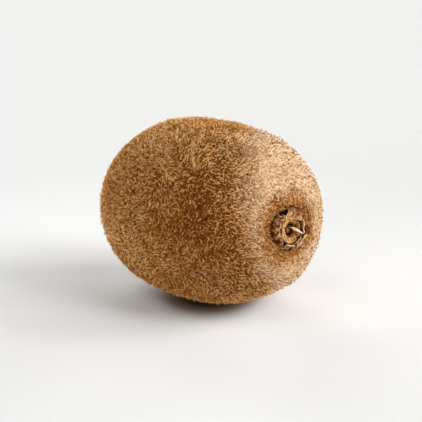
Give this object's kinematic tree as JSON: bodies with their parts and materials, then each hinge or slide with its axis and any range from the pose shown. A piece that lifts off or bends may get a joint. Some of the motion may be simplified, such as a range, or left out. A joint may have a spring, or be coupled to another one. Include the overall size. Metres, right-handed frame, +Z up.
{
  "type": "kiwi fruit",
  "caption": "Whole fuzzy brown kiwi fruit lying on its side, with a dried calyx round the stalk scar and withered styles at the blossom end.",
  "frame": {"origin": "on the resting plane, below the middle of the bounding box", "axes": "+Z up, +X towards the stalk end along the fruit's long axis, which rises 3 degrees towards the stalk end"},
  "size_m": [0.0732, 0.052, 0.0517],
  "materials": {
    "fuzzy_skin": "thin brown skin under short golden-brown bristles",
    "stalk_cork": "dry ochre cork",
    "stalk_straw": "pale dry fibre",
    "dried_sepal": "dry, brittle and wrinkled",
    "dry_husk": "hard dry husk"
  },
  "bodies": {
    "root": {"fruit": "fuzzy_skin", "stalk_collar": "stalk_cork", "stalk_fibre": "stalk_straw", "sepal_1": "dried_sepal", "sepal_2": "dried_sepal", "sepal_3": "dried_sepal", "sepal_4": "dried_sepal", "sepal_5": "dried_sepal", "sepal_6": "dried_sepal", "blossom_button": "dry_husk", "style_1": "dry_husk", "style_2": "dry_husk", "style_3": "dry_husk", "style_4": "dry_husk", "style_5": "dry_husk", "style_6": "dry_husk", "style_7": "dry_husk", "style_8": "dry_husk", "style_9": "dry_husk"}
  },
  "joints": []
}
